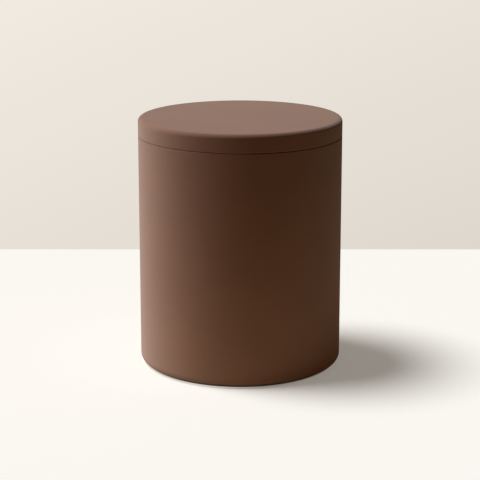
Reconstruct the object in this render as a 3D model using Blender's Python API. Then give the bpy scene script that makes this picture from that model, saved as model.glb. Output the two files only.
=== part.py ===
"""A lidded cylindrical canister, in metres, +Z up, standing on z = 0 with its axis on the Z axis.

A stoneware jar stands on four soft pads. A flush lid sits on its mouth, centred by a hollow spigot
that carries a soft seal in a groove. Every round piece is an outline turned about its own Z axis.
"""

import math

import bmesh
import bpy
from mathutils import Matrix, Vector

# Whole canister
OUTER_DIAMETER = 0.1000
SEAM_LIP_ROUND = 0.0004  # the lid's and the jar's edge at the seam

# Clearances
SEAT_GAP = 0.0003  # between a piece and what it rests on or in
SPIGOT_CLEARANCE = 0.0016  # around the spigot, in the jar's mouth

# Jar
JAR_HEIGHT = 0.1139  # from the foot ring to the mouth
JAR_WALL = 0.0045
JAR_FLOOR = 0.0050
JAR_FLOOR_ROUND = 0.0060  # inside, where wall and floor meet
MOUTH_INNER_ROUND = 0.0012
FOOT_EDGE_ROUND = 0.0035
FOOT_RING_WIDTH = 0.0060
FOOT_RING_INNER_ROUND = 0.0010
RECESS_DEPTH = 0.0026  # the hollow of the underside
RECESS_ROUND = 0.0012

# Lid
LID_RIM_HEIGHT = 0.0086
LID_TOP_ROUND = 0.0024
LID_PLATE = 0.0060
LID_HOLLOW_ROUND = 0.0030
SPIGOT_DEPTH = 0.0100
SPIGOT_WALL = 0.0054
SPIGOT_END_ROUND = 0.0014
SPIGOT_ROOT_ROUND = 0.0006
GROOVE_HEIGHT = 0.0040
GROOVE_DEPTH = 0.0018
GROOVE_EDGE_ROUND = 0.0003
GROOVE_ABOVE_END = 0.0030  # from the spigot's end to the groove

# Seal
SEAL_FINS = 2
SEAL_FIN_ROOT = 0.0009
SEAL_FIN_TIP = 0.0005
SEAL_FIN_RISE = 0.0005  # how far a fin's tip stands above its root

# Foot pads
PADS = 4
PAD_DIAMETER = 0.0120
PAD_STANDS_PROUD = 0.0004  # below the foot ring
PAD_EDGE_ROUND = 0.0008
PAD_INSET = 0.0020  # from the recess's wall

# Fineness of the round forms
TURN_STEPS = 72
PAD_TURN_STEPS = 24
ROUND_STEPS = 4
SHARP_ANGLE = math.radians(40)
MERGE_DISTANCE = 0.000001

# Sizes that follow
OUTER_RADIUS = OUTER_DIAMETER / 2
MOUTH_RADIUS = OUTER_RADIUS - JAR_WALL
FOOT_HEIGHT = PAD_STANDS_PROUD
RECESS_HEIGHT = FOOT_HEIGHT + RECESS_DEPTH
RECESS_RADIUS = OUTER_RADIUS - FOOT_EDGE_ROUND - FOOT_RING_WIDTH
JAR_FLOOR_HEIGHT = RECESS_HEIGHT + JAR_FLOOR
MOUTH_HEIGHT = FOOT_HEIGHT + JAR_HEIGHT
LID_SEAT_HEIGHT = MOUTH_HEIGHT + SEAT_GAP
SPIGOT_RADIUS = MOUTH_RADIUS - SPIGOT_CLEARANCE
GROOVE_RADIUS = SPIGOT_RADIUS - GROOVE_DEPTH
GROOVE_BOTTOM = GROOVE_ABOVE_END - SPIGOT_DEPTH  # in the lid's frame, from its seat
GROOVE_TOP = GROOVE_BOTTOM + GROOVE_HEIGHT
PAD_RADIUS = PAD_DIAMETER / 2
PAD_CIRCLE_RADIUS = RECESS_RADIUS - PAD_INSET - PAD_RADIUS
PAD_HEIGHT = RECESS_HEIGHT - SEAT_GAP

# Finishes: linear red, green and blue, then roughness
MATT_BROWN = (0.155, 0.058, 0.0215)
MATT_BROWN_ROUGHNESS = 0.55
SEAL_COLOUR = (0.075, 0.030, 0.014)
SEAL_ROUGHNESS = 0.45
PAD_COLOUR = (0.020, 0.018, 0.017)
PAD_ROUGHNESS = 0.60


def clear_scene():
    for old in list(bpy.data.objects):
        bpy.data.objects.remove(old)


def material(name, colour, roughness):
    made = bpy.data.materials.new(name)
    made.use_nodes = True
    shader = made.node_tree.nodes["Principled BSDF"]
    shader.inputs["Base Color"].default_value = (*colour, 1.0)
    shader.inputs["Roughness"].default_value = roughness
    shader.inputs["Metallic"].default_value = 0.0
    return made


def round_corner(before, corner, after, rounding):
    """The points of an arc that rounds one corner, over no more than half of each side there."""
    back = before - corner
    ahead = after - corner
    half_angle = back.angle(ahead) / 2
    reach = min(rounding / math.tan(half_angle), back.length / 2, ahead.length / 2)
    start = corner + back.normalized() * reach
    to_centre = (back.normalized() + ahead.normalized()).normalized()
    centre = corner + to_centre * reach / math.cos(half_angle)
    sweep = math.copysign(math.pi - 2 * half_angle, ahead.cross(back))
    turns = [Matrix.Rotation(sweep * step / ROUND_STEPS, 2) for step in range(ROUND_STEPS + 1)]
    return [centre + turn @ (start - centre) for turn in turns]


def outline(corners, closed):
    """The points of an outline, from its corners as (radius, height, rounding)."""
    spots = [Vector((radius, height)) for radius, height, _ in corners]
    points = []
    for index, (_, _, rounding) in enumerate(corners):
        inner = closed or 0 < index < len(corners) - 1
        if inner and rounding > 0:
            after = spots[(index + 1) % len(spots)]
            points += round_corner(spots[index - 1], spots[index], after, rounding)
        else:
            points.append(spots[index])
    return points


def turned_mesh(name, points, closed, steps, finish):
    """A closed body: the outline turned once about the Z axis."""
    shape = bmesh.new()
    verts = [shape.verts.new((point.x, 0, point.y)) for point in points]
    edges = [shape.edges.new(pair) for pair in zip(verts, verts[1:])]
    if closed:
        edges.append(shape.edges.new((verts[-1], verts[0])))
    bmesh.ops.spin(
        shape,
        geom=verts + edges,
        cent=(0, 0, 0),
        axis=(0, 0, 1),
        angle=math.tau,
        steps=steps,
    )
    bmesh.ops.remove_doubles(shape, verts=shape.verts, dist=MERGE_DISTANCE)
    bmesh.ops.recalc_face_normals(shape, faces=shape.faces)
    mesh = bpy.data.meshes.new(name)
    shape.to_mesh(mesh)
    shape.free()
    mesh.materials.append(finish)
    mesh.shade_smooth()
    mesh.set_sharp_from_angle(angle=SHARP_ANGLE)
    return mesh


def place(name, mesh, location, parent=None):
    made = bpy.data.objects.new(name, mesh)
    bpy.context.scene.collection.objects.link(made)
    made.location = location
    made.parent = parent
    return made


def jar_body():
    """The jar, from the middle of its floor up the bore, over the mouth and down to the recess."""
    corners = [
        (0, JAR_FLOOR_HEIGHT, 0),
        (MOUTH_RADIUS, JAR_FLOOR_HEIGHT, JAR_FLOOR_ROUND),
        (MOUTH_RADIUS, MOUTH_HEIGHT, MOUTH_INNER_ROUND),
        (OUTER_RADIUS, MOUTH_HEIGHT, SEAM_LIP_ROUND),
        (OUTER_RADIUS, FOOT_HEIGHT, FOOT_EDGE_ROUND),
        (RECESS_RADIUS, FOOT_HEIGHT, FOOT_RING_INNER_ROUND),
        (RECESS_RADIUS, RECESS_HEIGHT, RECESS_ROUND),
        (0, RECESS_HEIGHT, 0),
    ]
    finish = material("jar_matt_brown", MATT_BROWN, MATT_BROWN_ROUGHNESS)
    mesh = turned_mesh("jar_body", outline(corners, False), False, TURN_STEPS, finish)
    return place("jar_body", mesh, (0, 0, 0))


def lid():
    """The lid, with z = 0 at its seat: over the top, down the rim and the grooved spigot, and in."""
    hollow_height = LID_RIM_HEIGHT - LID_PLATE
    hollow_radius = SPIGOT_RADIUS - SPIGOT_WALL
    corners = [
        (0, LID_RIM_HEIGHT, 0),
        (OUTER_RADIUS, LID_RIM_HEIGHT, LID_TOP_ROUND),
        (OUTER_RADIUS, 0, SEAM_LIP_ROUND),
        (SPIGOT_RADIUS, 0, SPIGOT_ROOT_ROUND),
        (SPIGOT_RADIUS, GROOVE_TOP, GROOVE_EDGE_ROUND),
        (GROOVE_RADIUS, GROOVE_TOP, 0),
        (GROOVE_RADIUS, GROOVE_BOTTOM, 0),
        (SPIGOT_RADIUS, GROOVE_BOTTOM, GROOVE_EDGE_ROUND),
        (SPIGOT_RADIUS, -SPIGOT_DEPTH, SPIGOT_END_ROUND),
        (hollow_radius, -SPIGOT_DEPTH, SPIGOT_END_ROUND),
        (hollow_radius, hollow_height, LID_HOLLOW_ROUND),
        (0, hollow_height, 0),
    ]
    finish = material("lid_matt_brown", MATT_BROWN, MATT_BROWN_ROUGHNESS)
    mesh = turned_mesh("lid", outline(corners, False), False, TURN_STEPS, finish)
    return place("lid", mesh, (0, 0, LID_SEAT_HEIGHT))


def seal_fin(root_middle, root_radius, tip_radius):
    """The four corners of one fin, from its upper root round its tip to its lower root."""
    tip_middle = root_middle + SEAL_FIN_RISE
    return [
        (root_radius, root_middle + SEAL_FIN_ROOT / 2, 0),
        (tip_radius, tip_middle + SEAL_FIN_TIP / 2, 0),
        (tip_radius, tip_middle - SEAL_FIN_TIP / 2, 0),
        (root_radius, root_middle - SEAL_FIN_ROOT / 2, 0),
    ]


def lid_seal(carrier):
    """The ring in the lid's groove, whose fins reach for the bore of the jar."""
    top = GROOVE_TOP - SEAT_GAP
    bottom = GROOVE_BOTTOM + SEAT_GAP
    inner_radius = GROOVE_RADIUS + SEAT_GAP
    fin_pitch = (top - bottom) / SEAL_FINS
    corners = [(inner_radius, top, 0), (SPIGOT_RADIUS, top, 0)]
    for fin in range(SEAL_FINS):
        middle = top - fin_pitch * (fin + 0.5)
        corners += seal_fin(middle, SPIGOT_RADIUS, MOUTH_RADIUS - SEAT_GAP)
    corners += [(SPIGOT_RADIUS, bottom, 0), (inner_radius, bottom, 0)]
    finish = material("seal_silicone", SEAL_COLOUR, SEAL_ROUGHNESS)
    mesh = turned_mesh("lid_seal", outline(corners, True), True, TURN_STEPS, finish)
    return place("lid_seal", mesh, (0, 0, 0), carrier)


def foot_pads(carrier):
    """Round pads, evenly spaced under the jar, with the edge that meets the table rounded."""
    corners = [
        (0, PAD_HEIGHT, 0),
        (PAD_RADIUS, PAD_HEIGHT, 0),
        (PAD_RADIUS, 0, PAD_EDGE_ROUND),
        (0, 0, 0),
    ]
    finish = material("pad_silicone", PAD_COLOUR, PAD_ROUGHNESS)
    mesh = turned_mesh("foot_pad", outline(corners, False), False, PAD_TURN_STEPS, finish)
    for index in range(PADS):
        angle = math.tau * index / PADS
        middle = (PAD_CIRCLE_RADIUS * math.cos(angle), PAD_CIRCLE_RADIUS * math.sin(angle), 0)
        place(f"foot_pad_{index + 1}", mesh, middle, carrier)


clear_scene()
jar = jar_body()
foot_pads(jar)
lid_seal(lid())
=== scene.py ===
"""Finish and portrait of the lidded canister: soft-touch stoneware jar and lid, silicone seal and pads.

Lengths are in metres, +Z is up and the canister stands on z = 0 with its axis on the Z axis. Sizes
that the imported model's boxes give are read from them; wall, groove and edge sizes are named here.
"""

import math

import bmesh
import bpy
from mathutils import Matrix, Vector


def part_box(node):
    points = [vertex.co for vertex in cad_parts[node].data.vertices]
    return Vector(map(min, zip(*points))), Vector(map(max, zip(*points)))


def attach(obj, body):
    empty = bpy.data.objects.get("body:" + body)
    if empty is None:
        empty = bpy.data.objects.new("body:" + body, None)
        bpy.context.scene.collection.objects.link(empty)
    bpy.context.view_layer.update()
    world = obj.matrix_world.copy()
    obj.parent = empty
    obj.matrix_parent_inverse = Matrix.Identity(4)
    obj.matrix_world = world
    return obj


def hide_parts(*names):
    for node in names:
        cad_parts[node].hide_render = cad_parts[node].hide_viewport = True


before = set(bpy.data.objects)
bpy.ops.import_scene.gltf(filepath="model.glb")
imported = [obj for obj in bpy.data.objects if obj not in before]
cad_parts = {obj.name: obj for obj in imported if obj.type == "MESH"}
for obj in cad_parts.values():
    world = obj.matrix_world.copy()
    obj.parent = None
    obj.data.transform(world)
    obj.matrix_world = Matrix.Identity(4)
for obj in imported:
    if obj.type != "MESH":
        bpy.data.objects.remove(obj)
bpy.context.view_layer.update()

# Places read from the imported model
JAR_LOW, JAR_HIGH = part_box("jar_body")
LID_LOW, LID_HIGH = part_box("lid")
SEAL_LOW, SEAL_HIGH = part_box("lid_seal")
OUTER_RADIUS = JAR_HIGH.x
FOOT_HEIGHT = JAR_LOW.z
MOUTH_HEIGHT = JAR_HIGH.z
LID_TOP = LID_HIGH.z
SPIGOT_END = LID_LOW.z

# Jar
JAR_WALL = 0.0045
JAR_FLOOR = 0.0050
JAR_FLOOR_ROUND = 0.0060
MOUTH_INNER_ROUND = 0.0012
SEAM_LIP_ROUND = 0.0005
FOOT_EDGE_ROUND = 0.0035
FOOT_RING_WIDTH = 0.0060
FOOT_RING_INNER_ROUND = 0.0010
RECESS_DEPTH = 0.0026
RECESS_ROUND = 0.0012

# Lid
SEAT_GAP = 0.00003
LID_TOP_ROUND = 0.0020
LID_PLATE = 0.0060
LID_HOLLOW_ROUND = 0.0030
SPIGOT_CLEARANCE = 0.0016
SPIGOT_WALL = 0.0054
SPIGOT_END_ROUND = 0.0014
SPIGOT_ROOT_ROUND = 0.0006
GROOVE_HEIGHT = 0.0040
GROOVE_DEPTH = 0.0018
GROOVE_EDGE_ROUND = 0.0003
GROOVE_ABOVE_END = 0.0030

# Places that follow
MOUTH_RADIUS = OUTER_RADIUS - JAR_WALL
RECESS_RADIUS = OUTER_RADIUS - FOOT_EDGE_ROUND - FOOT_RING_WIDTH
RECESS_HEIGHT = FOOT_HEIGHT + RECESS_DEPTH
FLOOR_HEIGHT = RECESS_HEIGHT + JAR_FLOOR
LID_SEAT = MOUTH_HEIGHT + SEAT_GAP
SPIGOT_RADIUS = MOUTH_RADIUS - SPIGOT_CLEARANCE
HOLLOW_RADIUS = SPIGOT_RADIUS - SPIGOT_WALL
HOLLOW_HEIGHT = LID_TOP - LID_PLATE
GROOVE_RADIUS = SPIGOT_RADIUS - GROOVE_DEPTH
GROOVE_BOTTOM = SPIGOT_END + GROOVE_ABOVE_END
GROOVE_TOP = GROOVE_BOTTOM + GROOVE_HEIGHT

# Seal and foot pads
SEAL_GAP = 0.0003
SEAL_FINS = 2
SEAL_FIN_ROOT = 0.0009
SEAL_FIN_TIP = 0.0005
SEAL_FIN_RISE = 0.0005
SEAL_CORNER_ROUND = 0.0003
SEAL_TIP_ROUND = 0.0002
PADS = 4
PAD_EDGE_ROUND = 0.0008
PAD_TOP_ROUND = 0.0003
PAD_DIMPLE_RADIUS = 0.0036
PAD_DIMPLE_DEPTH = 0.0003
PAD_DIMPLE_ROUND = 0.00025

# Modelling
TURN_VERTICES = 256
PAD_VERTICES = 64
SAME_PLACE = 0.00001
ROUND_SEGMENTS = 8
LIP_SEGMENTS = 4
ROUND_PROFILE = 0.5
QUAD_CORNERS = 4
FLAT_FACE_WEIGHT = 100
CANISTER_AXIS = Vector()

# Finishes: colours, and the sizes of their patterns
COAT_BROWN = (0.155, 0.061, 0.026)
COAT_ROUGHNESS = 0.55
COAT_SPECULAR = 0.0
COAT_SHEEN = 0.238
COAT_SHEEN_ROUGHNESS = 0.72
COAT_CLOUD = 0.026
COAT_GRAIN = 0.0005
COAT_VARIATION = 0.07
COAT_GRAIN_DEPTH = 0.00002
GLAZE_BROWN = (0.115, 0.048, 0.023)
GLAZE_BREAK_BROWN = (0.210, 0.100, 0.048)
GLAZE_BREAK_WIDTH = 0.0016
GLAZE_ROUGHNESS = 0.38
GLAZE_RIPPLE = 0.0100
GLAZE_VARIATION = 0.10
GLAZE_RIPPLE_DEPTH = 0.000015
CLAY_BROWN = (0.240, 0.138, 0.082)
CLAY_ROUGHNESS = 0.85
CLAY_SPECULAR = 0.3
CLAY_CLOUD = 0.004
CLAY_GRAIN = 0.0004
CLAY_VARIATION = 0.12
CLAY_GRAIN_DEPTH = 0.00004
FLECK_BROWN = (0.085, 0.042, 0.024)
FLECK_SIZE = 0.0011
FLECK_STARTS = 0.64
FLECK_FULL = 0.72
FLECK_SHARE = 0.8
SEAL_BROWN = (0.075, 0.030, 0.014)
SEAL_ROUGHNESS = 0.45
PAD_BLACK = (0.020, 0.018, 0.017)
PAD_ROUGHNESS = 0.60
RUBBER_CLOUD = 0.003
RUBBER_GRAIN = 0.00025
RUBBER_VARIATION = 0.15
RUBBER_GRAIN_DEPTH = 0.00001
PLAIN_SPECULAR = 0.5
PATTERN_LOW = 0.3
PATTERN_HIGH = 0.7
ROUGHNESS_SWING = 0.06
TABLE_ROUGHNESS = 0.7
TABLE_SPECULAR = 0.1
TABLE_WHITE = (0.930, 0.925, 0.895)
TABLE_GLOW = (0.930, 0.860, 0.760)
TABLE_NEAR_BOUNCE = (0.960, 0.960, 0.830)
TABLE_FAR_BOUNCE = (0.470, 0.320, 0.170)
# Warm light that the table glows towards the canister: painted light, as the table is no lamp
TABLE_PAINTED_WARM_GLOW = (0.180, 0.075, 0.008)
NO_LIGHT = (0, 0, 0)

# Camera
CAMERA_DISTANCE = 0.7885
CAMERA_HEIGHT = 0.25945
CAMERA_SIDE = -0.00008
CAMERA_PITCH = math.radians(14.14)
CAMERA_LENS = 122.40
CAMERA_SENSOR = 36.0

# Table: its edges, and shares of its brightness
TABLE_FAR_EDGE = 0.217
TABLE_REACH = 3.0
TABLE_LIT_SHARE = 0.82
TABLE_OWN_SHARE = 0.27
# Painted light: the table's brightness in the arc under the foot's edge
TABLE_PAINTED_FOOT_LIGHT_SHARE = 0.75
POOL_REST = 0.2

# Distances from the canister's axis between which the table changes
# Painted shade: the table's glow stops under the foot, so the table stays dark under the foot's rounding
OWN_STARTS = 0.0465
OWN_FULL = 0.0480
# Painted light: the arc under the foot's edge, where the key lamp's light would reach under the rounding
FOOT_EDGE_INNER = 0.0480
FOOT_EDGE_OUTER = 0.0502
# Painted shade: the table sends no light back to the canister near the foot
SHADE_OF_FOOT = 0.048
CLEAR_OF_FOOT = 0.054
BOUNCE_WARMS = 0.09
BOUNCE_WARM = 0.20
# Painted light: how far the table's warm glow reaches the canister
OWN_BOUNCE_INNER = 0.14
OWN_BOUNCE_OUTER = 0.26
POOL_INNER = 0.25
POOL_OUTER = 0.55

# Distances from the axis towards the key lamp between which the painted light in the arc under the foot's
# edge sets in
LIT_SIDE_STARTS = -0.025
LIT_SIDE_FULL = 0.012

# Lamps and wall
KEY_TURN = math.radians(169)
KEY_RISE = math.radians(66)
KEY_SPREAD = math.radians(24)
KEY_STRENGTH = 0.98
SIDE_TURN = math.radians(162)
SIDE_RISE = math.radians(22)
SIDE_DISTANCE = 0.90
SIDE_SIZE = 1.10
SIDE_STRENGTH = 1.43
WALL_TINT = (1.0, 0.932, 0.845)
WALL_SLOPE = (-0.236, 0.0, 0.574)
WALL_LEVEL = 0.908
WALL_DARKEST = 0.70
WALL_PALEST = 0.90
OVERHEAD_STARTS = 0.26
OVERHEAD_GLOW = 0.03


def deselect_everything():
    if bpy.context.mode != "OBJECT":
        bpy.ops.object.mode_set(mode="OBJECT")
    bpy.ops.object.select_all(action="DESELECT")


def start_disc(name, radius, centre, vertices=TURN_VERTICES):
    """A round face to model from, in edit mode and selected, in a mesh that lies in the world's frame."""
    deselect_everything()
    bpy.ops.mesh.primitive_circle_add(
        vertices=vertices, radius=radius, fill_type="NGON", location=centre
    )
    made = bpy.context.active_object
    made.name = made.data.name = name
    bpy.ops.object.transform_apply(location=True)
    bpy.ops.object.mode_set(mode="EDIT")
    bpy.ops.mesh.select_all(action="SELECT")
    return made


def edit_shape():
    return bmesh.from_edit_mesh(bpy.context.edit_object.data)


def show_edits():
    bmesh.update_edit_mesh(bpy.context.edit_object.data)


def selected_middle():
    verts = [vert.co for vert in edit_shape().verts if vert.select]
    return sum(verts, Vector()) / len(verts)


def selected_radius():
    middle = selected_middle()
    return next((vert.co - middle).length for vert in edit_shape().verts if vert.select)


def extrude_to(height):
    """Extrudes the selected round face straight up or down."""
    rise = height - selected_middle().z
    bpy.ops.mesh.extrude_region_move(TRANSFORM_OT_translate={"value": (0, 0, rise)})


def step_to(radius):
    """Extrudes the selected round face in its own plane, to another radius."""
    share = radius / selected_radius()
    middle = selected_middle()
    bpy.ops.mesh.extrude_region_move()
    bpy.ops.transform.resize(value=(share, share, 1), center_override=middle)


def select_cap(height):
    """Selects only the round flat face at a height."""
    bpy.ops.mesh.select_all(action="DESELECT")
    for face in edit_shape().faces:
        if len(face.verts) > QUAD_CORNERS and abs(face.calc_center_median().z - height) < SAME_PLACE:
            face.select_set(True)
    show_edits()


def on_ring(vert, centre, radius, height):
    away = (vert.co.xy - centre.xy).length
    return abs(away - radius) < SAME_PLACE and abs(vert.co.z - height) < SAME_PLACE


def round_ring(radius, height, rounding, segments=ROUND_SEGMENTS, centre=CANISTER_AXIS):
    """Rounds the edge that runs all round at one radius and height."""
    bpy.ops.mesh.select_mode(type="EDGE")
    bpy.ops.mesh.select_all(action="DESELECT")
    for edge in edit_shape().edges:
        if all(on_ring(vert, centre, radius, height) for vert in edge.verts):
            edge.select_set(True)
    show_edits()
    bpy.ops.mesh.bevel(offset=rounding, segments=segments, profile=ROUND_PROFILE, affect="EDGES")
    bpy.ops.mesh.select_mode(type="FACE")


def give_finish(made, finish, chosen=None):
    """Gives the piece a finish, on all of its faces or on those whose radius and height a rule picks."""
    made.data.materials.append(finish)
    if chosen is None:
        return
    made.active_material_index = len(made.data.materials) - 1
    bpy.ops.mesh.select_all(action="DESELECT")
    for face in edit_shape().faces:
        middle = face.calc_center_median()
        face.select_set(chosen(middle.xy.length, middle.z))
    show_edits()
    bpy.ops.object.material_slot_assign()


def finish_shape(made, body, node):
    """Smooths the shading, and hands the piece to its body in place of its CAD node."""
    bpy.ops.mesh.select_all(action="SELECT")
    bpy.ops.mesh.normals_make_consistent(inside=False)
    deselect_everything()
    made.select_set(True)
    bpy.context.view_layer.objects.active = made
    bpy.ops.object.shade_smooth()
    bpy.ops.object.modifier_add(type="WEIGHTED_NORMAL")
    made.modifiers[-1].weight = FLAT_FACE_WEIGHT
    bpy.ops.object.modifier_apply(modifier=made.modifiers[-1].name)
    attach(made, body)
    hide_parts(node)


def inside_jar(radius, height):
    return height > RECESS_HEIGHT + JAR_FLOOR / 2 and radius < MOUTH_RADIUS + MOUTH_INNER_ROUND


def bare_on_jar(radius, height):
    """The flat mouth that the lid sits on, and the underside within the foot's rounding."""
    on_mouth = height > MOUTH_HEIGHT - SAME_PLACE and radius > MOUTH_RADIUS + MOUTH_INNER_ROUND
    under = height < RECESS_HEIGHT + SAME_PLACE and radius < OUTER_RADIUS - FOOT_EDGE_ROUND
    return on_mouth or under


def bare_on_lid(radius, height):
    """The seat between the spigot's root and the outer edge."""
    return abs(height - LID_SEAT) < SAME_PLACE and radius > SPIGOT_RADIUS + SPIGOT_ROOT_ROUND


def under_lid(radius, height):
    on_spigot = radius < SPIGOT_RADIUS + SPIGOT_ROOT_ROUND and height < LID_SEAT + SAME_PLACE
    in_hollow = radius < HOLLOW_RADIUS + SAME_PLACE and height < HOLLOW_HEIGHT + SAME_PLACE
    return on_spigot or in_hollow


def model_jar(coat, glaze, clay):
    """Drawn up from the foot, in over the mouth and down inside, with the underside hollowed last."""
    made = start_disc("stoneware_jar", OUTER_RADIUS, (0, 0, FOOT_HEIGHT))
    extrude_to(MOUTH_HEIGHT)
    step_to(MOUTH_RADIUS)
    extrude_to(FLOOR_HEIGHT)
    select_cap(FOOT_HEIGHT)
    step_to(RECESS_RADIUS)
    extrude_to(RECESS_HEIGHT)
    round_ring(OUTER_RADIUS, FOOT_HEIGHT, FOOT_EDGE_ROUND)
    round_ring(OUTER_RADIUS, MOUTH_HEIGHT, SEAM_LIP_ROUND, LIP_SEGMENTS)
    round_ring(MOUTH_RADIUS, MOUTH_HEIGHT, MOUTH_INNER_ROUND)
    round_ring(MOUTH_RADIUS, FLOOR_HEIGHT, JAR_FLOOR_ROUND)
    round_ring(RECESS_RADIUS, FOOT_HEIGHT, FOOT_RING_INNER_ROUND)
    round_ring(RECESS_RADIUS, RECESS_HEIGHT, RECESS_ROUND)
    give_finish(made, coat)
    give_finish(made, glaze, inside_jar)
    give_finish(made, clay, bare_on_jar)
    finish_shape(made, "jar", "jar_body")
    return made


def model_lid(coat, glaze, clay):
    """Drawn up from the seat, then down into the spigot, its groove and the hollow inside it."""
    made = start_disc("stoneware_lid", OUTER_RADIUS, (0, 0, LID_SEAT))
    extrude_to(LID_TOP)
    select_cap(LID_SEAT)
    step_to(SPIGOT_RADIUS)
    extrude_to(GROOVE_TOP)
    step_to(GROOVE_RADIUS)
    extrude_to(GROOVE_BOTTOM)
    step_to(SPIGOT_RADIUS)
    extrude_to(SPIGOT_END)
    step_to(HOLLOW_RADIUS)
    extrude_to(HOLLOW_HEIGHT)
    round_ring(OUTER_RADIUS, LID_TOP, LID_TOP_ROUND)
    round_ring(OUTER_RADIUS, LID_SEAT, SEAM_LIP_ROUND, LIP_SEGMENTS)
    round_ring(SPIGOT_RADIUS, LID_SEAT, SPIGOT_ROOT_ROUND, LIP_SEGMENTS)
    round_ring(SPIGOT_RADIUS, GROOVE_TOP, GROOVE_EDGE_ROUND, LIP_SEGMENTS)
    round_ring(SPIGOT_RADIUS, GROOVE_BOTTOM, GROOVE_EDGE_ROUND, LIP_SEGMENTS)
    round_ring(SPIGOT_RADIUS, SPIGOT_END, SPIGOT_END_ROUND)
    round_ring(HOLLOW_RADIUS, SPIGOT_END, SPIGOT_END_ROUND)
    round_ring(HOLLOW_RADIUS, HOLLOW_HEIGHT, LID_HOLLOW_ROUND)
    give_finish(made, coat)
    give_finish(made, glaze, under_lid)
    give_finish(made, clay, bare_on_lid)
    finish_shape(made, "lid", "lid")
    return made


def select_outer_edge(radius, low, high):
    """Selects the upright edge of the seal's section at a radius, between two heights."""
    bpy.ops.mesh.select_mode(type="EDGE")
    bpy.ops.mesh.select_all(action="DESELECT")
    for edge in edit_shape().edges:
        ends = sorted(vert.co.z for vert in edge.verts)
        upright = all(abs(vert.co.x - radius) < SAME_PLACE for vert in edge.verts)
        if upright and abs(ends[0] - low) < SAME_PLACE and abs(ends[1] - high) < SAME_PLACE:
            edge.select_set(True)
    show_edits()


def round_section_corners(least, most, rounding):
    """Rounds the corners of the seal's section that lie between two radii."""
    bpy.ops.mesh.select_mode(type="VERT")
    bpy.ops.mesh.select_all(action="DESELECT")
    for vert in edit_shape().verts:
        vert.select_set(least - SAME_PLACE < vert.co.x < most + SAME_PLACE)
    show_edits()
    bpy.ops.mesh.bevel(offset=rounding, segments=LIP_SEGMENTS, profile=ROUND_PROFILE, affect="VERTICES")


def draw_seal_section():
    """The seal's section on the +X side: a flat bar with a fin drawn out for each pair of cuts."""
    low = SEAL_LOW.z
    high = SEAL_HIGH.z
    inner = GROOVE_RADIUS + SEAL_GAP
    middle = ((inner + SPIGOT_RADIUS) / 2, 0, (low + high) / 2)
    deselect_everything()
    bpy.ops.mesh.primitive_plane_add(size=1, location=middle, rotation=(math.pi / 2, 0, 0))
    made = bpy.context.active_object
    made.name = made.data.name = "silicone_seal"
    bpy.ops.object.transform_apply(location=True, rotation=True)
    bpy.ops.object.mode_set(mode="EDIT")
    bpy.ops.mesh.select_all(action="SELECT")
    size = (SPIGOT_RADIUS - inner, 1, high - low)
    bpy.ops.transform.resize(value=size, center_override=middle)
    pitch = (high - low) / SEAL_FINS
    roots = [high - pitch * (fin + 0.5) for fin in range(SEAL_FINS)]
    for root in roots:
        for cut in (root - SEAL_FIN_ROOT / 2, root + SEAL_FIN_ROOT / 2):
            bpy.ops.mesh.select_all(action="SELECT")
            bpy.ops.mesh.bisect(plane_co=(0, 0, cut), plane_no=(0, 0, 1))
    reach = SEAL_HIGH.x - SPIGOT_RADIUS
    for root in roots:
        select_outer_edge(SPIGOT_RADIUS, root - SEAL_FIN_ROOT / 2, root + SEAL_FIN_ROOT / 2)
        draw = {"value": (reach, 0, SEAL_FIN_RISE)}
        bpy.ops.mesh.extrude_region_move(TRANSFORM_OT_translate=draw)
        thin = (1, 1, SEAL_FIN_TIP / SEAL_FIN_ROOT)
        tip = (SEAL_HIGH.x, 0, root + SEAL_FIN_RISE)
        bpy.ops.transform.resize(value=thin, center_override=tip)
    bpy.ops.mesh.select_mode(type="FACE")
    bpy.ops.mesh.select_all(action="SELECT")
    bpy.ops.mesh.dissolve_faces()
    round_section_corners(SEAL_HIGH.x, SEAL_HIGH.x, SEAL_TIP_ROUND)
    round_section_corners(inner, SPIGOT_RADIUS, SEAL_CORNER_ROUND)
    return made


def model_seal(rubber):
    """The outline of the section, spun round the canister's axis."""
    made = draw_seal_section()
    bpy.ops.mesh.select_mode(type="FACE")
    bpy.ops.mesh.select_all(action="SELECT")
    bpy.ops.mesh.delete(type="ONLY_FACE")
    bpy.ops.mesh.select_mode(type="EDGE")
    bpy.ops.mesh.select_all(action="SELECT")
    bpy.ops.mesh.spin(steps=TURN_VERTICES, angle=math.tau, center=(0, 0, 0), axis=(0, 0, 1))
    bpy.ops.mesh.select_all(action="SELECT")
    bpy.ops.mesh.remove_doubles(threshold=SAME_PLACE)
    give_finish(made, rubber)
    finish_shape(made, "lid", "lid_seal")
    return made


def model_pad(index, rubber):
    """A low round pad with a shallow dimple underneath."""
    node = f"foot_pad_{index}"
    low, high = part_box(node)
    centre = (low + high) / 2
    radius = (high.x - low.x) / 2
    made = start_disc(f"silicone_pad_{index}", radius, (centre.x, centre.y, low.z), PAD_VERTICES)
    extrude_to(high.z)
    select_cap(low.z)
    step_to(PAD_DIMPLE_RADIUS)
    extrude_to(low.z + PAD_DIMPLE_DEPTH)
    round_ring(radius, low.z, PAD_EDGE_ROUND, LIP_SEGMENTS, centre)
    round_ring(radius, high.z, PAD_TOP_ROUND, LIP_SEGMENTS, centre)
    round_ring(PAD_DIMPLE_RADIUS, low.z, PAD_DIMPLE_ROUND, LIP_SEGMENTS, centre)
    give_finish(made, rubber)
    finish_shape(made, "jar", node)
    return made


def start_material(name, colour, roughness, specular=PLAIN_SPECULAR):
    """A plain finish to build on, and where its patterns lie: in the piece's own coordinates."""
    made = bpy.data.materials.new(name)
    made.use_nodes = True
    tree = made.node_tree
    shader = tree.nodes["Principled BSDF"]
    shader.inputs["Base Color"].default_value = (*colour, 1)
    shader.inputs["Roughness"].default_value = roughness
    shader.inputs["Specular IOR Level"].default_value = specular
    place = tree.nodes.new("ShaderNodeTexCoord").outputs["Object"]
    return made, tree, shader, place


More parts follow.
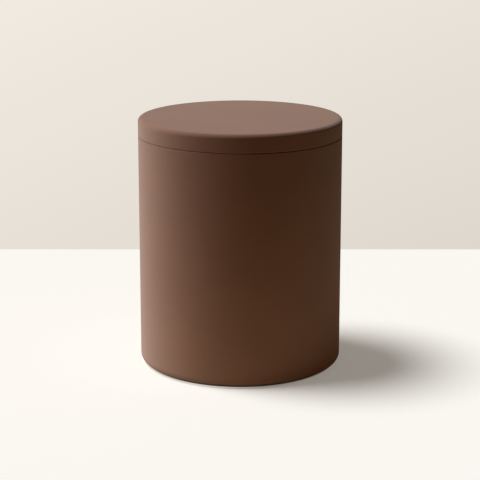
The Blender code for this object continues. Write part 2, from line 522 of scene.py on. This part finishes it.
def math_node(tree, operation, first, second=0):
    """A sum, product or comparison of two values, each a socket or a number."""
    made = tree.nodes.new("ShaderNodeMath")
    made.operation = operation
    for socket, value in zip(made.inputs, (first, second)):
        if isinstance(value, (int, float)):
            socket.default_value = value
        else:
            tree.links.new(value, socket)
    return made.outputs[0]


def ramp(tree, value, start, end, low, high):
    """Eases from a low result to a high one while the value goes from start to end."""
    made = tree.nodes.new("ShaderNodeMapRange")
    made.interpolation_type = "SMOOTHSTEP"
    tree.links.new(value, made.inputs["Value"])
    made.inputs["From Min"].default_value = start
    made.inputs["From Max"].default_value = end
    made.inputs["To Min"].default_value = low
    made.inputs["To Max"].default_value = high
    return made.outputs["Result"]


def mix_colours(tree, factor, first, second):
    """The first colour where the factor is 0 and the second where it is 1, each a socket or a tuple."""
    made = tree.nodes.new("ShaderNodeMix")
    made.data_type = "RGBA"
    tree.links.new(factor, made.inputs["Factor"])
    for socket, colour in ((made.inputs["A"], first), (made.inputs["B"], second)):
        if isinstance(colour, tuple):
            socket.default_value = (*colour, 1)
        else:
            tree.links.new(colour, socket)
    return made.outputs["Result"]


def noise(tree, place, size):
    """Soft random mottling whose patches are about as wide as the size given."""
    made = tree.nodes.new("ShaderNodeTexNoise")
    tree.links.new(place, made.inputs["Vector"])
    made.inputs["Scale"].default_value = 1 / size
    return made.outputs["Fac"]


def tinted(colour, share):
    """The same colour, darker or paler by a share."""
    return tuple(part * share for part in colour)


def mottled(tree, pattern, colour, variation):
    """A colour that wanders a little darker and paler with a pattern."""
    dark = tinted(colour, 1 - variation)
    pale = tinted(colour, 1 + variation)
    share = ramp(tree, pattern, PATTERN_LOW, PATTERN_HIGH, 0, 1)
    return mix_colours(tree, share, dark, pale)


def lay_finish(tree, shader, colour, pattern, roughness, depth):
    """Gives the surface its colour, and a pattern that stands out in its relief and roughness."""
    tree.links.new(colour, shader.inputs["Base Color"])
    smooth = roughness - ROUGHNESS_SWING
    rough = roughness + ROUGHNESS_SWING
    varied = ramp(tree, pattern, PATTERN_LOW, PATTERN_HIGH, smooth, rough)
    tree.links.new(varied, shader.inputs["Roughness"])
    relief = tree.nodes.new("ShaderNodeBump")
    relief.inputs["Distance"].default_value = depth
    tree.links.new(pattern, relief.inputs["Height"])
    tree.links.new(relief.outputs["Normal"], shader.inputs["Normal"])


def soft_touch_coat():
    """The matt outer coat: soft cloudiness, a fine grain and the bloom of a velvety surface."""
    made, tree, shader, place = start_material(
        "soft_touch_brown", COAT_BROWN, COAT_ROUGHNESS, COAT_SPECULAR
    )
    shader.inputs["Sheen Weight"].default_value = COAT_SHEEN
    shader.inputs["Sheen Roughness"].default_value = COAT_SHEEN_ROUGHNESS
    cloud = noise(tree, place, COAT_CLOUD)
    grain = noise(tree, place, COAT_GRAIN)
    both = math_node(tree, "ADD", cloud, grain)
    both = math_node(tree, "DIVIDE", both, 2)
    colour = mottled(tree, both, COAT_BROWN, COAT_VARIATION)
    lay_finish(tree, shader, colour, grain, COAT_ROUGHNESS, COAT_GRAIN_DEPTH)
    return made


def satin_glaze(name, edge_height):
    """The inner glaze, which runs thin and breaks to a paler brown over the edge at a height."""
    made, tree, shader, place = start_material(name, GLAZE_BROWN, GLAZE_ROUGHNESS)
    height = tree.nodes.new("ShaderNodeSeparateXYZ")
    tree.links.new(place, height.inputs["Vector"])
    ripple = noise(tree, place, GLAZE_RIPPLE)
    from_edge = math_node(tree, "SUBTRACT", height.outputs["Z"], edge_height)
    from_edge = math_node(tree, "ABSOLUTE", from_edge)
    wander = math_node(tree, "MULTIPLY", ripple, GLAZE_BREAK_WIDTH)
    from_edge = math_node(tree, "ADD", from_edge, wander)
    thin = ramp(tree, from_edge, GLAZE_BREAK_WIDTH / 2, GLAZE_BREAK_WIDTH * 2, 1, 0)
    pooled = mottled(tree, ripple, GLAZE_BROWN, GLAZE_VARIATION)
    colour = mix_colours(tree, thin, pooled, GLAZE_BREAK_BROWN)
    lay_finish(tree, shader, colour, ripple, GLAZE_ROUGHNESS, GLAZE_RIPPLE_DEPTH)
    return made


def bare_clay():
    """Unglazed stoneware where the lid sits and on the foot: dry, toothy and flecked with iron."""
    made, tree, shader, place = start_material(
        "bare_clay", CLAY_BROWN, CLAY_ROUGHNESS, CLAY_SPECULAR
    )
    grain = noise(tree, place, CLAY_GRAIN)
    body = mottled(tree, noise(tree, place, CLAY_CLOUD), CLAY_BROWN, CLAY_VARIATION)
    specks = noise(tree, place, FLECK_SIZE)
    flecks = ramp(tree, specks, FLECK_STARTS, FLECK_FULL, 0, FLECK_SHARE)
    colour = mix_colours(tree, flecks, body, FLECK_BROWN)
    lay_finish(tree, shader, colour, grain, CLAY_ROUGHNESS, CLAY_GRAIN_DEPTH)
    return made


def moulded_silicone(name, colour, roughness):
    """Soft rubber from a fine-blasted mould, a little dusty in patches."""
    made, tree, shader, place = start_material(name, colour, roughness)
    grain = noise(tree, place, RUBBER_GRAIN)
    dusty = mottled(tree, noise(tree, place, RUBBER_CLOUD), colour, RUBBER_VARIATION)
    lay_finish(tree, shader, dusty, grain, roughness, RUBBER_GRAIN_DEPTH)
    return made


def seen_directly(tree):
    """One for rays that show the background itself: from the camera, or by a gloss or through glass."""
    path = tree.nodes.new("ShaderNodeLightPath").outputs
    seen = math_node(tree, "MAXIMUM", path["Is Camera Ray"], path["Is Glossy Ray"])
    return math_node(tree, "MAXIMUM", seen, path["Is Transmission Ray"])


def facing(tree, direction, towards):
    """How far a direction or a place lies towards another."""
    made = tree.nodes.new("ShaderNodeVectorMath")
    made.operation = "DOT_PRODUCT"
    tree.links.new(direction, made.inputs[0])
    made.inputs[1].default_value = towards
    return made.outputs["Value"]


def light_studio():
    """A pale wall all round to look at, and a faint glow from overhead that lights the canister."""
    world = bpy.data.worlds.new("studio")
    world.use_nodes = True
    bpy.context.scene.world = world
    tree = world.node_tree
    direction = tree.nodes.new("ShaderNodeTexCoord").outputs["Generated"]
    wall = math_node(tree, "ADD", facing(tree, direction, WALL_SLOPE), WALL_LEVEL)
    wall = math_node(tree, "MINIMUM", wall, WALL_PALEST)
    wall = math_node(tree, "MAXIMUM", wall, WALL_DARKEST)
    upwards = facing(tree, direction, (0, 0, 1))
    overhead = ramp(tree, upwards, OVERHEAD_STARTS, 1, 0, OVERHEAD_GLOW)
    pick = tree.nodes.new("ShaderNodeMix")
    tree.links.new(seen_directly(tree), pick.inputs["Factor"])
    tree.links.new(overhead, pick.inputs["A"])
    tree.links.new(wall, pick.inputs["B"])
    shader = tree.nodes["Background"]
    shader.inputs["Color"].default_value = (*WALL_TINT, 1)
    tree.links.new(pick.outputs["Result"], shader.inputs["Strength"])


def direction_to(turn, rise):
    """The direction at a turn from +X and a rise above the table."""
    flat = math.cos(rise)
    return Vector((math.cos(turn) * flat, math.sin(turn) * flat, math.sin(rise)))


def hang_lamp(lamp, towards, place=(0, 0, 0)):
    """Puts up a lamp that shines from a direction."""
    made = bpy.data.objects.new(lamp.name, lamp)
    bpy.context.scene.collection.objects.link(made)
    made.rotation_euler = towards.to_track_quat("Z", "Y").to_euler()
    made.location = place
    return made


def hang_key_lamp():
    """A broad lamp high on the left, a little behind the canister."""
    lamp = bpy.data.lights.new("key_lamp", "SUN")
    lamp.energy = KEY_STRENGTH * math.pi
    lamp.angle = KEY_SPREAD
    hang_lamp(lamp, direction_to(KEY_TURN, KEY_RISE))


def stand_side_softbox(canister):
    """A softbox low on the left that is flagged off the table, so that only the canister has its light."""
    lamp = bpy.data.lights.new("side_softbox", "AREA")
    lamp.shape = "DISK"
    lamp.size = SIDE_SIZE
    spread = math.pi * SIDE_DISTANCE ** 2
    lamp.energy = SIDE_STRENGTH * math.pi * spread
    towards = direction_to(SIDE_TURN, SIDE_RISE)
    middle = Vector((0, 0, LID_TOP / 2))
    made = hang_lamp(lamp, towards, middle + towards * SIDE_DISTANCE)
    lit = bpy.data.collections.new("lit_by_side_softbox")
    for piece in canister:
        lit.objects.link(piece)
    made.light_linking.receiver_collection = lit


def table_bounce(tree, away, sends_past_painted_foot_shade):
    """What the table sends back of the lamps' light, with painted shade and falloff: nothing at the foot,
    a painted shade that stands for the foot's contact shadow, then a pale light near the canister, and a
    warmer and weaker one further off."""
    # Painted falloff: the sent-back light is paler near the canister and warmer and weaker further off
    warmth = ramp(tree, away, BOUNCE_WARMS, BOUNCE_WARM, 0, 1)
    pool = ramp(tree, away, POOL_INNER, POOL_OUTER, 1, POOL_REST)
    sent_back = mix_colours(tree, warmth, TABLE_NEAR_BOUNCE, TABLE_FAR_BOUNCE)
    sent_back = mix_colours(tree, pool, NO_LIGHT, sent_back)
    return mix_colours(tree, sends_past_painted_foot_shade, NO_LIGHT, sent_back)


def table_own_light(tree, place, away, sends_past_painted_foot_shade, seen):
    """The table's own glow, painted light from a table that is no lamp. To look at, it is even, and a
    painted light makes it stronger in a narrow arc under the foot's edge on the key lamp's side. The
    canister gets a warm glow from it, painted light too, out to a short distance."""
    # Painted light: a warm glow sent from the table to the canister
    near = ramp(tree, away, OWN_BOUNCE_INNER, OWN_BOUNCE_OUTER, 1, 0)
    sent_back = mix_colours(tree, near, NO_LIGHT, TABLE_PAINTED_WARM_GLOW)
    sent_back = mix_colours(tree, sends_past_painted_foot_shade, NO_LIGHT, sent_back)
    # Painted light: brightness in an arc under the foot's edge on the key lamp's side
    towards_key = facing(tree, place, direction_to(KEY_TURN, 0))
    lit_side = ramp(tree, towards_key, LIT_SIDE_STARTS, LIT_SIDE_FULL, 0, 1)
    under_foot_edge = ramp(tree, away, FOOT_EDGE_INNER, FOOT_EDGE_OUTER, 1, 0)
    painted_light_arc = math_node(tree, "MULTIPLY", lit_side, under_foot_edge)
    elsewhere = tinted(TABLE_GLOW, TABLE_OWN_SHARE)
    painted_light_at_foot = tinted(TABLE_GLOW, TABLE_PAINTED_FOOT_LIGHT_SHARE)
    looked_at = mix_colours(tree, painted_light_arc, elsewhere, painted_light_at_foot)
    return mix_colours(tree, seen, sent_back, looked_at)


def table_material():
    """A pale matt top, which looks one brightness and sends another back to the canister."""
    made, tree, shader, place = start_material(
        "table_white", TABLE_WHITE, TABLE_ROUGHNESS, TABLE_SPECULAR
    )
    length = tree.nodes.new("ShaderNodeVectorMath")
    length.operation = "LENGTH"
    tree.links.new(place, length.inputs[0])
    away = length.outputs["Value"]
    seen = seen_directly(tree)
    # Painted shade: no light sent back to the canister near the foot
    sends_past_painted_foot_shade = ramp(tree, away, SHADE_OF_FOOT, CLEAR_OF_FOOT, 0, 1)
    sent_back = table_bounce(tree, away, sends_past_painted_foot_shade)
    looked_at = tinted(TABLE_WHITE, TABLE_LIT_SHARE)
    colour = mix_colours(tree, seen, sent_back, looked_at)
    tree.links.new(colour, shader.inputs["Base Color"])
    own = table_own_light(tree, place, away, sends_past_painted_foot_shade, seen)
    tree.links.new(own, shader.inputs["Emission Color"])
    # Painted shade: no glow from the table under the foot
    glow_past_painted_foot_shade = ramp(tree, away, OWN_STARTS, OWN_FULL, 0, 1)
    tree.links.new(glow_past_painted_foot_shade, shader.inputs["Emission Strength"])
    return made


def lay_table():
    """The table's top, which ends behind the canister and reaches past every view at its other sides."""
    deselect_everything()
    bpy.ops.mesh.primitive_plane_add(size=1)
    made = bpy.context.active_object
    made.name = made.data.name = "table"
    bpy.ops.object.mode_set(mode="EDIT")
    depth = TABLE_FAR_EDGE + TABLE_REACH
    bpy.ops.mesh.select_all(action="SELECT")
    bpy.ops.transform.resize(value=(2 * TABLE_REACH, depth, 1), center_override=(0, 0, 0))
    bpy.ops.transform.translate(value=(0, TABLE_FAR_EDGE - depth / 2, 0))
    deselect_everything()
    made.data.materials.append(table_material())


def set_camera():
    """A long lens straight in front of the canister, looking a little down at it."""
    data = bpy.data.cameras.new("portrait_camera")
    data.lens = CAMERA_LENS
    data.sensor_width = CAMERA_SENSOR
    made = bpy.data.objects.new("portrait_camera", data)
    bpy.context.scene.collection.objects.link(made)
    made.location = (CAMERA_SIDE, -CAMERA_DISTANCE, CAMERA_HEIGHT)
    made.rotation_euler = (math.pi / 2 - CAMERA_PITCH, 0, 0)
    bpy.context.scene.camera = made


coat = soft_touch_coat()
clay = bare_clay()
jar = model_jar(coat, satin_glaze("jar_glaze", MOUTH_HEIGHT), clay)
lid = model_lid(coat, satin_glaze("lid_glaze", SPIGOT_END), clay)
seal = model_seal(moulded_silicone("seal_silicone", SEAL_BROWN, SEAL_ROUGHNESS))
pad_rubber = moulded_silicone("pad_silicone", PAD_BLACK, PAD_ROUGHNESS)
pads = [model_pad(index + 1, pad_rubber) for index in range(PADS)]
lay_table()
set_camera()
hang_key_lamp()
stand_side_softbox([jar, lid, seal, *pads])
light_studio()
bpy.context.scene.view_settings.view_transform = "Standard"
